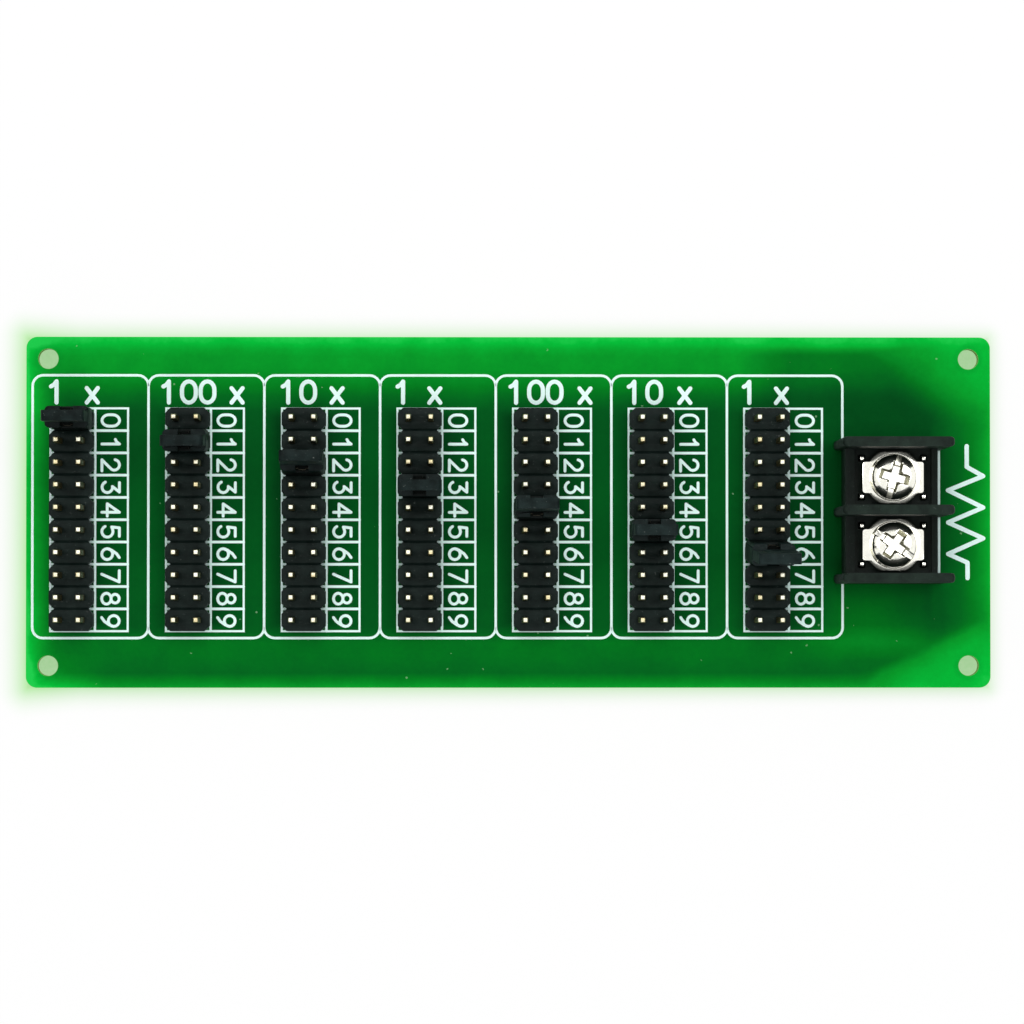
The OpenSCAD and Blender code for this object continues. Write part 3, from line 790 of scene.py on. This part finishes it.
legend = {
    "frameLeft": -54.29, "frameTop": 15.61, "frameBottom": -14.35, "frameCorner": 1.2, "frameGap": 7.6,
    "frameLine": 0.285, "boxHalf": 2.54, "boxSlip": (0.07, 0.045, 0.035, 0.01, 0.0, 0.0, 0.0),
    "boxLine": 0.28, "tableRight": 6.35, "tableLine": 0.34, "rowLine": 0.3, "tickLine": 0.28, "notch": 1.9,
    "digitHigh": 2.0, "digitLine": 0.33, "digitBase": 3.38, "digitSide": 0.54,
    "headingHigh": 2.42, "headingLine": 0.48, "headingBase": 12.5, "headingStep": 2.12, "headingShift": 0.3,
    "oneBack": 0.14, "crossHalf": 0.26,
    "symbol": [(52.33, 7.57), (52.33, 5.20), (54.2, 4.15), (50.18, 2.52), (54.2, 0.56), (50.18, -1.15),
               (54.2, -2.96), (50.18, -4.75), (52.4, -5.74), (52.4, -7.50)],
    "symbolLine": 0.5, "outlineX": 49.13, "outline": ((0.6, 7.0), (-7.0, -0.6)), "outlineLine": 0.3,
}


def drawFrame(left, isLast):
    # the rounded frame of one decade; that of the last one is open towards the terminal
    corner, gap = legend["frameCorner"], legend["frameGap"]
    right = left + decadeStep
    top, bottom = legend["frameTop"] - corner, legend["frameBottom"] + corner
    path = []
    for x, y, start in ((right - corner, bottom, 0), (left + corner, bottom, -90), (left + corner, top, 180),
                        (right - corner, top, 90)):
        path += arc(x, y, corner, corner, start, start - 90, 6)
    if isLast:
        path = [(right, -gap)] + path + [(right, gap)]
    return inkStroke(path, legend["frameLine"], roundEnds=False)


def drawTable(x, firstRow, slip):
    # a box round the header with a tick at each row, and a column of digits beside it
    left, inner = x - legend["boxHalf"] + slip, x + legend["boxHalf"] + slip
    right = x + legend["tableRight"]
    edges = [firstRow + pitch / 2 - row * pitch for row in range(rows + 1)]
    top, bottom = edges[0], edges[-1]
    box = [(left, top), (right, top), (right, bottom), (left, bottom)]
    parts = [inkStroke(box, legend["tableLine"], loop=True, height=0.018)]
    parts.append(inkStroke([(inner, top), (inner, bottom)], legend["boxLine"], height=0.02))
    line = inkStroke([(x + legend["notch"], 0.0), (right, 0.0)], legend["rowLine"], height=0.022)
    tick = inkStroke([(left, 0.0), (x - legend["notch"], 0.0)], legend["tickLine"], height=0.022)
    for edge in edges[1:-1]:
        parts += [copyTo(line, y=edge), copyTo(tick, y=edge)]
    dropPieces([line, tick])
    return parts


def drawFigures(small, large, x, firstRow, number, start, cross):
    # the digits lie on their side, with their tops towards the terminal
    parts = []
    for row in range(rows):
        y = firstRow - row * pitch + legend["digitSide"]
        parts.append(copyTo(small[str(row)], x + legend["digitBase"], y, turn=-math.pi / 2))
    high, base = legend["headingHigh"], legend["headingBase"]
    for place, figure in enumerate(number):
        at = start + legend["headingShift"] + place * legend["headingStep"]
        if figure == "1":
            at -= legend["oneBack"] * high
        parts.append(copyTo(large[figure], at, base))
    parts.append(copyTo(large["cross"], cross - legend["crossHalf"] * high, base))
    return parts


def drawSymbol():
    parts = []
    points = legend["symbol"]
    for step, ends in enumerate(zip(points, points[1:])):
        parts.append(inkStroke(ends, legend["symbolLine"], height=0.02 + 0.002 * (step % 2)))
    x = legend["outlineX"]
    for low, high in legend["outline"]:
        parts.append(inkStroke([(x, low), (x, high)], legend["outlineLine"]))
    return parts


def buildLegend():
    small = drawNumerals(legend["digitHigh"], legend["digitLine"])
    large = drawNumerals(legend["headingHigh"], legend["headingLine"])
    for index, (name, (number, start, cross)) in enumerate(decades.items()):
        x, firstRow = headerPlace(name)[:2]
        parts = [drawFrame(legend["frameLeft"] + index * decadeStep, index == len(decades) - 1)]
        parts += drawTable(x, firstRow, legend["boxSlip"][index])
        parts += drawFigures(small, large, x, firstRow, number, start, cross)
        settle(joinPieces(parts), "legend_" + name, "board", "ink")
    dropPieces(list(small.values()) + list(large.values()))
    settle(joinPieces(drawSymbol()), "legend_symbol", "board", "ink")


buildLegend()
print("legend drawn")


# Plastic and pins


plastic = {
    "headerEdge": 0.09, "headerEnds": 0.7, "headerRight": 0.07, "headerLeft": -0.02,
    "capEdge": 0.14, "window": {"half": 0.75, "out": 1.5, "low": -9.05, "high": -6.4},
    "terminalEdge": 0.12, "wallEnds": 0.49, "wallHigh": 4, "wallRound": 0.4, "curvesFrom": 12,
    "rimIn": 1.05, "rimSlip": -0.15,
    "pinEdge": 0.075, "contactEdge": 0.06, "toothReach": 0.6, "toothTop": (0.62, 0.7, 1),
}


def sidesOf(piece):
    across = [vertex.co.x for vertex in piece.data.vertices]
    return min(across), max(across)


def widenHeader(piece):
    # the moulding is a little wider than nominal, above all on its right side
    near, far = sidesOf(piece)
    ends = plastic["headerEnds"]
    openMesh(piece)
    shiftPoints(piece, lambda at, normal: at.x > far - ends, (plastic["headerRight"], 0, 0))
    shiftPoints(piece, lambda at, normal: at.x < near + ends, (plastic["headerLeft"], 0, 0))
    closeMesh()


def openWindows(piece):
    # a cap leans, so its own axes are read from its faces; the windows are cut in as far as the handle
    window = plastic["window"]
    level = [face for face in piece.data.polygons if face.normal.z > 0.9 and face.area > 2]
    upright = [face for face in piece.data.polygons if abs(face.normal.z) < 0.3]
    top = max(level, key=lambda face: face.center.z)
    side = max(upright, key=lambda face: face.area)
    up, across = top.normal.copy(), side.normal.copy()
    place = Matrix((across.cross(up), across, up)).transposed().to_4x4()
    place.translation = top.center
    inner = round((side.center - top.center).dot(across), 3)
    for way in (-1, 1):
        near, far = sorted((inner * way, window["out"] * way))
        tool = addBlock((-window["half"], near, window["low"]), (window["half"], far, window["high"]))
        tool.data.transform(place)
        combine(piece, tool, "DIFFERENCE", "MANIFOLD")
    mergeMesh(piece)


def roundWallEnds(piece):
    # the barrier walls have round ends, from the upright edges to the curves above them, and their
    # rims stand a little to the left
    near, far = sidesOf(piece)
    ends, rim = plastic["wallEnds"], plastic["rimIn"]

    def isWallEnd(at, along):
        upright = abs(along.z) > plastic["wallHigh"]
        aboveUpright = abs(along.z) > 0.01 and at.z > plastic["curvesFrom"]
        atEnd = at.x > far - ends or at.x < near + ends
        return abs(along.y) < 0.02 and atEnd and (upright or aboveUpright)

    openMesh(piece, "EDGE")
    choose(piece, "EDGE", isWallEnd)
    bpy.ops.mesh.bevel(offset=plastic["wallRound"], segments=5, affect="EDGES")
    shiftPoints(piece, lambda at, normal: abs(at.x - far + rim) < 0.03 or abs(at.x - near - rim) < 0.03,
                (plastic["rimSlip"], 0, 0))
    closeMesh()


def taperTeeth(piece):
    # the four teeth are coined: their tops are smaller than their feet
    top = max(vertex.co.z for vertex in piece.data.vertices) - 0.02
    spots = [face.center.copy() for face in piece.data.polygons if face.center.z > top]
    for spot in spots:
        openMesh(piece)
        scalePoints(piece, lambda at, normal: at.z > top and (at - spot).length < plastic["toothReach"],
                    plastic["toothTop"], spot)
        closeMesh()


def dressPlastic():
    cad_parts["circuit_board"].data.materials[0] = finishes["board"]
    for name in decades:
        dressNode("header_housing_" + name, plastic["headerEdge"], "header_plastic_" + name, "board",
                  "header", shape=widenHeader)
        dressNode("header_pins_" + name, plastic["pinEdge"], "pins_" + name, "board", "pin")
        dressNode("jumper_cap_" + name, plastic["capEdge"], "cap_" + name, "jumper_" + name,
                  "cap", shape=openWindows)
        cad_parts["jumper_clip_" + name].data.materials[0] = finishes["clip"]
    dressNode("terminal_housing", plastic["terminalEdge"], "terminal_plastic", "board",
              "terminal", segments=3, shape=roundWallEnds)
    for pole in ("1", "2"):
        dressNode("terminal_contact_" + pole, plastic["contactEdge"], "contact_" + pole, "board",
                  "nickel", shape=taperTeeth)


dressPlastic()
print("plastic and pins dressed")


# Chip resistors on the back


chip = {
    "wide": 2.5, "long": 3.2, "thick": 0.56, "end": 0.5, "endProud": 0.035, "glazeIn": 0.1, "glazeGap": 0.05,
    "glazeProud": 0.03, "glazeSunk": 0.05, "pad": 0.45, "filletHigh": 0.42, "filletEdge": 0.04,
    "hollowAt": 0.14, "hollow": 0.1, "column": 4.1, "columnGap": 3.1,
}


def addEven(wide, low, high, bottom, top):
    # a block that lies evenly on both sides of x = 0
    return addBlock((-wide, min(low, high), bottom), (wide, max(low, high), top))


def modelChip():
    # a chip hangs under the board, with z = 0 at the board and the glazed face down
    wide, long, thick = chip["wide"] / 2, chip["long"] / 2, chip["thick"]
    body = addEven(wide - 0.02, -long + 0.02, long - 0.02, -thick, -0.03)
    softenEdges(body, 0.04)
    coat(body, "ceramic")
    glazeLong = long - chip["end"] - chip["glazeGap"]
    glaze = addEven(wide - chip["glazeIn"], -glazeLong, glazeLong, -thick - chip["glazeProud"],
                    -thick + chip["glazeSunk"])
    softenEdges(glaze, 0.05)
    coat(glaze, "glaze")
    parts = [body, glaze]
    for side in (-1, 1):
        end = addEven(wide, side * (long - chip["end"]), side * long, -thick - chip["endProud"], -0.01)
        softenEdges(end, 0.07, segments=3)
        foot, hollow = side * (long + chip["pad"]), side * (long + chip["hollowAt"])
        fillet = addEven(wide - 0.06, side * (long - 0.1), foot, -chip["filletHigh"], 0.0)
        openMesh(fillet)
        # the far edge of the fillet runs out flat on its pad, and one more edge makes it hollow
        shiftPoints(fillet, lambda at, normal: abs(at.y - foot) < 0.01 and at.z < -0.1,
                    (0, 0, chip["filletHigh"] - chip["filletEdge"]))
        cutMesh((0, hollow, 0), (0, 1, 0))
        shiftPoints(fillet, lambda at, normal: abs(at.y - hollow) < 0.01 and at.z < -0.05,
                    (0, 0, chip["hollow"]))
        closeMesh()
        softenEdges(fillet, 0.05, angle=20)
        for part in (end, fillet):
            coat(part, "solder")
            parts.append(part)
    return joinPieces(parts)


def buildChips():
    # one chip between two rows, in two columns in turn
    model = modelChip()
    for name in decades:
        x, firstRow = headerPlace(name)[:2]
        copies = []
        for row in range(rows - 1):
            column = x + chip["column"] + (row % 2) * chip["columnGap"]
            copies.append(copyTo(model, column, firstRow - (row + 0.5) * pitch, boardUnder))
        settle(joinPieces(copies), "chips_" + name, "board", None, ["chip_resistors_" + name])
    dropPieces([model])


def modelSolder(ring, tail, high):
    # a hollow cone of solder round the end of a pin
    profile = [(ring, 0.02), (ring, -0.03), (ring - 0.03, -0.09), (ring - 0.12, -0.22), (ring - 0.22, -0.38)]
    profile += [(tail + 0.06, -0.62), (tail - 0.02, -0.80), (tail - 0.10, -high + 0.02), (0.0, -high - 0.02)]
    joint = lathe(profile, 20)
    smoothUpTo(joint, 50)
    return joint


def buildSolder():
    bead = {"ring": 0.8625, "tail": 0.49, "high": 0.91}
    joint = modelSolder(**bead)
    for name in decades:
        x, firstRow = headerPlace(name)[:2]
        copies = []
        for row in range(rows):
            for side in (-1, 1):
                place = (x + side * pitch / 2, firstRow - row * pitch, boardUnder)
                copies.append(copyTo(joint, *place, turn=0.7 * row + side))
        settle(joinPieces(copies), "solder_" + name, "board", "solder", ["solder_joints_" + name])
    size = (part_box("terminal_solder")[1].y / mm - poleY) / bead["ring"]
    legs = [copyTo(joint, legX, y, boardUnder, size=size) for y in (poleY, -poleY)]
    settle(joinPieces(legs), "solder_legs", "board", "solder", ["terminal_solder"])
    dropPieces([joint])


def buildTraces():
    # copper under the mask on the back: each tap runs from its pin under two chips, and each decade's
    # common pins run on to the next decade; the ends of the chain go to the terminal's legs
    copper = {"thin": 0.35, "wide": 0.8, "high": 0.025, "tap": 7.9, "endTap": 4.1, "rise": 9.7,
              "legTurn": 1.25}
    thin, wide = copper["thin"], copper["wide"]
    lines = []
    for index, name in enumerate(decades):
        x, top, low = headerPlace(name)
        left, right, rise, after = x - pitch / 2, x + pitch / 2, x + copper["rise"], x + decadeStep
        for row in range(rows):
            y = top - row * pitch
            reach = copper["tap"] if 0 < row < rows - 1 else copper["endTap"]
            lines.append(([(right, y), (x + reach, y)], thin))
        lines.append(([(left, top), (left, low - 1.5)], wide))
        if index < len(decades) - 1:
            path = [(left, low - 1.5), (x - 0.3, low - 2.5), (rise - 1, low - 2.5), (rise, low - 1.5)]
            path += [(rise, top + 1.2), (rise + 1, top + 2.2), (after + 0.3, top + 2.2)]
            path += [(after + pitch / 2, top + 1.2), (after + pitch / 2, top)]
            lines.append((path, thin))
    x, top, low = headerPlace("1m")
    first, last = x + pitch / 2, headerPlace("1r")[0] - pitch / 2
    turn = legX - copper["legTurn"]
    lines.append(([(first, top), (first, top + 4.0), (first + 1.2, top + 5.2), (turn, top + 5.2),
                   (legX, top + 4.0), (legX, poleY)], wide))
    lines.append(([(last, low - 1.5), (last + 1.2, low - 2.7), (turn, low - 2.7), (legX, low - 1.5),
                   (legX, -poleY)], wide))
    strokes = []
    for index, (points, width) in enumerate(lines):
        strokes.append(inkStroke(points, width, height=copper["high"] + 0.002 * (index % 3), z=boardUnder))
    settle(joinPieces(strokes), "back_traces", "board", "trace")


buildChips()
print("chips placed")
buildSolder()
print("solder placed")
buildTraces()
print("traces drawn")


# Terminal metal


screw = {
    "head": 2.54, "high": 2.1, "rim": 1.2, "crown": 0.1, "shoulder": 0.98,
    "slot": 0.83, "slotDeep": 0.75, "slotFall": 0.06, "slotFloor": 0.72,
    "arm": 1.16, "armReach": 1.76, "armDeep": 1.0, "armOver": 0.25, "armFloor": (0.71, 0.68, 1),
    "armTop": (1.08, 1.12, 1), "coneTop": 1.12, "coneFloor": 0.66,
    "thread": 1.5, "root": 1.2, "pitch": 0.5, "long": 5.7,
    "turns": {"1": 75, "2": -35},
}
clamp = {"long": 6.9, "wide": 3.5, "round": 3.34, "flat": 2.9, "thick": 0.7, "hole": 1.62, "corner": 0.3,
         "roll": 0.03}


def modelSlot():
    # a straight slot, narrower at its floor, which falls away towards both ends
    high, half = screw["high"], screw["slot"] / 2
    slot = addBlock((-3, -half, high - screw["slotDeep"]), (3, half, high + 1))
    openMesh(slot)
    for place in (-1.5, 1.5):
        cutMesh((place, 0, 0), (1, 0, 0))
    scalePoints(slot, lambda at, normal: at.z < high, (1, screw["slotFloor"], 1))
    shiftPoints(slot, lambda at, normal: at.z < high and abs(at.x) > 2, (0, 0, -screw["slotFall"]))
    closeMesh()
    return slot


def modelArm(turn):
    # an arm of the cross recess, narrower at its floor, and made longer upwards to stand out of the head
    high, deep, over = screw["high"], screw["armDeep"], screw["armOver"]
    reach, half, low = screw["armReach"], screw["arm"] / 2, high - deep
    arm = addBlock((-reach, -half, low), (reach, half, high))
    openMesh(arm)
    scalePoints(arm, lambda at, normal: at.z < high - 0.1, screw["armFloor"])
    scalePoints(arm, lambda at, normal: True, (1, 1, 1 + over / deep), (0, 0, low))
    scalePoints(arm, lambda at, normal: at.z > high, screw["armTop"])
    closeMesh()
    arm.data.transform(Matrix.Rotation(turn, 4, "Z"))
    return arm


def modelCone():
    # rounds the corners between the arms
    low, top = screw["high"] - screw["armDeep"], screw["high"] + screw["armOver"]
    bpy.ops.mesh.primitive_cone_add(vertices=40, radius1=screw["coneFloor"], radius2=screw["coneTop"],
                                    depth=top - low, location=(0, 0, (low + top) / 2))
    cone = bpy.context.object
    placeInMesh(cone)
    return cone


def modelHead():
    # a pan head; z = 0 is its underside, and its recess keeps the rougher finish of the punch, with painted
    # light and shade by the slope of its faces
    radius, high, rim, reach = screw["head"], screw["high"], screw["rim"], screw["shoulder"]
    shoulder = high - screw["crown"] - rim
    profile = [(0.0, 0.0), (radius - 0.1, 0.0), (radius, 0.1)]
    for angle in (0, 12, 24, 36, 48, 60, 71, 80):
        across, up = math.cos(math.radians(angle)), math.sin(math.radians(angle))
        profile.append((radius - reach + reach * across, rim + shoulder * up))
    edge = profile[-1][0] - 0.06
    profile += [(edge, high - 0.1), (radius * 0.46, high - 0.05), (radius * 0.22, high - 0.012), (0.0, high)]
    head = lathe(profile, 64)
    coat(head, "nickel", "recess")
    for tool in (modelSlot(), modelArm(0), modelArm(math.pi / 2), modelCone()):
        coat(tool, "nickel", "recess")
        for polygon in tool.data.polygons:
            polygon.material_index = 1
        combine(head, tool, "DIFFERENCE")
    softenEdges(head, 0.045, angle=34, slot=1)
    return head


def modelThread():
    # one tooth is wound down the shank, and both ends are cut flat
    root, outer, step, long = screw["root"], screw["thread"], screw["pitch"], screw["long"]
    tooth = [(root, 0.0), (outer, 0.19), (outer, 0.25), (root, 0.44), (root, step)]
    thread = drawWire([(radius, 0.0, z) for radius, z in tooth], False)
    turns = int(long / step) + 1
    modify(thread, "SCREW", screw_offset=step, iterations=turns, steps=24, render_steps=24,
           use_merge_vertices=True, merge_threshold=0.002)
    thread.data.transform(Matrix.Translation((0, 0, -turns * step - 0.2)))
    openMesh(thread)
    bpy.ops.mesh.remove_doubles(threshold=0.002)
    cutMesh((0, 0, -0.3), (0, 0, 1), clear_outer=True, use_fill=True)
    cutMesh((0, 0, 0.3 - long), (0, 0, 1), clear_inner=True, use_fill=True)
    pointNormalsOut()
    closeMesh()
    smoothUpTo(thread, 35)
    neck = addDrum(root + 0.02, -0.4, 0.1, 32)
    tip = lathe([(0.0, 0.31 - long), (root + 0.05, 0.31 - long), (1.1, -long + 0.02), (0.0, -long)], 32)
    shank = [thread, neck, tip]
    for piece in shank:
        coat(piece, "nickel")
    return shank


def modelClamp():
    # a washer with two square wings and a round middle that has two flats; z = 0 is its underside
    thick, outer, flat, roll = clamp["thick"], clamp["round"], clamp["flat"], clamp["roll"]
    long, wide = clamp["long"] / 2, clamp["wide"] / 2
    plate = addBlock((-long, -wide, 0), (long, wide, thick))
    openMesh(plate, "EDGE")
    choose(plate, "EDGE", lambda at, along: abs(along.z) > 0.5)
    bpy.ops.mesh.bevel(offset=clamp["corner"], segments=4, affect="EDGES")
    closeMesh()
    # the round middle has a flange that stands a little above the wings and falls away towards its rim
    fall = [(0.0, -0.3), (0.02, -0.2), (0.06, -0.11), (0.12, -0.055), (0.2, -0.025), (0.32, -0.002),
            (0.46, 0.5 * roll), (0.6, 0.9 * roll), (0.68, roll), (0.73, 0.0), (0.75, -0.2)]
    rim = [(outer - inward, thick + rise) for inward, rise in fall]
    disc = lathe([(0.0, 0.0), (outer, 0.0)] + rim + [(0.0, thick - 0.2)], 72)
    openMesh(disc)
    for side in (-1, 1):
        cutMesh((0, side * flat, 0), (0, side, 0), clear_outer=True, use_fill=True)
    closeMesh()
    combine(plate, disc, "UNION")
    combine(plate, addDrum(clamp["hole"], -1, 2, 48), "DIFFERENCE")
    softenEdges(plate, 0.07, segments=3, angle=62)
    return plate


def buildTerminalMetal():
    screwModel = joinPieces([modelHead()] + modelThread())
    clampModel = modelClamp()
    for pole, turn in screw["turns"].items():
        centre = middle("clamp_plate_" + pole)
        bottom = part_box("clamp_plate_" + pole)[0].z / mm
        plate = copyTo(clampModel, centre.x, centre.y, bottom)
        settle(plate, "clamp_" + pole, "clamp_" + pole, "nickel", ["clamp_plate_" + pole])
        turned = copyTo(screwModel, centre.x, centre.y, bottom + clamp["thick"], math.radians(turn))
        settle(turned, "screw_" + pole, "screw_" + pole, None, ["terminal_screw_" + pole])
    dropPieces([screwModel, clampModel])


buildTerminalMetal()
print("terminal metal made")


# Studio: white paper under the board, white surroundings and four soft lamps; its sizes are in metres


studio = {
    "floor": 3.0, "under": -0.00005, "paper": 0.85, "world": 0.44, "size": 0.3, "power": 0.95,
    "white": (1.0, 1.0, 1.0, 1.0), "plain": (0.94, 0.94, 0.94, 1.0), "tinted": (0.78, 0.95, 0.74, 1.0),
    "glow": (0.43, 0.85, 0.32, 1.0), "underBoard": ((0.34, 0.66, 0.29, 1.0), (0.50, 0.74, 0.42, 1.0)),
    "glowReach": 2.3, "reachLeft": 0.9, "reachEnd": 0.8, "glowHigh": 0.5, "highLeft": 0.2, "highEnd": 0.3,
    "leftEnd": (49.0, 7.0),
    "lamps": {"left": (-0.30, 0.12, 0.62), "right": (0.32, 0.14, 0.62), "front": (0.0, -0.36, 0.60),
              "rear": (0.02, 0.36, 0.60)},
}


def makePaperFinish():
    # painted light: the light that comes through the board is painted as a green tint on the paper round it,
    # most of all at the left end;
    # the glow is measured in millimetres, as every finish is
    f = Finish("floor_paper", studio["plain"], 0.9, Specular_IOR_Level=0.1)
    where = f.place()
    x, y = f.split(where)[:2]
    outX = abs(x) - halfLong
    outY = abs(y) - halfWide
    away = outX.most(0.0).length(outY.most(0.0))
    endFrom, endOver = studio["leftEnd"]
    leftEnd = ((0.0 - x - endFrom) / endOver).clip()
    leftward = ((halfLong - x) / (2 * halfLong)).clip()
    reach = leftEnd * studio["reachEnd"] + leftward * studio["reachLeft"] + studio["glowReach"]
    glow = (1.0 - away / reach).clip()
    glow = glow * glow * (leftEnd * studio["highEnd"] + leftward * studio["highLeft"] + studio["glowHigh"])
    shade = f.mix(glow, studio["white"], studio["glow"])
    # painted shade and green light under the board, seen through its holes
    under = ((0.2 - outX.most(outY)) / 1.2).clip()
    shade = f.mix(under, shade, f.mix(f.noise(where, 2.6, 4.0), *studio["underBoard"]))
    # painted light: the paper's own colour is tinted green by the glow too
    f.feed(Base_Color=f.mix(glow * 0.5, studio["plain"], studio["tinted"]))
    # the camera and the metal see the paper lit from behind, and its own face keeps the shadows
    lit = f.node("ShaderNodeEmission", None, {"Color": shade, "Strength": 1.0})
    paper = f.mixShader(f.seen() * studio["paper"], Wire(f, f.shader.outputs[0]), lit)
    f.tree.links.new(paper.socket, f.tree.nodes["Material Output"].inputs["Surface"])
    return f.material


def layPaper():
    bpy.ops.mesh.primitive_plane_add(size=studio["floor"], location=(0, 0, studio["under"]))
    floor = bpy.context.object
    floor.name = "floor"
    placeInMesh(floor)
    floor.data.materials.append(makePaperFinish())
    floor.select_set(False)


def lightWorld():
    # the camera and the metal see white, and the light on the board is weaker
    world = bpy.data.worlds.new("studio")
    bpy.context.scene.world = world
    world.use_nodes = True
    world.node_tree.nodes.clear()
    sky = NodeTree(world.node_tree)
    plain, bright = [sky.node("ShaderNodeBackground", None, {"Color": studio["white"], "Strength": strength})
                     for strength in (studio["world"], 1.0)]
    out = sky.tree.nodes.new("ShaderNodeOutputWorld")
    sky.tree.links.new(sky.mixShader(sky.seen(), plain, bright).socket, out.inputs["Surface"])


def hangLamps():
    for name, place in studio["lamps"].items():
        data = bpy.data.lights.new(name, "AREA")
        data.shape = "SQUARE"
        data.size = studio["size"]
        data.energy = studio["power"]
        lamp = bpy.data.objects.new(name, data)
        bpy.context.scene.collection.objects.link(lamp)
        lamp.location = place
        lamp.rotation_euler = (-Vector(place)).to_track_quat("-Z", "Y").to_euler()


layPaper()
lightWorld()
hangLamps()
bpy.context.scene.view_settings.view_transform = "Standard"
print("studio lit")
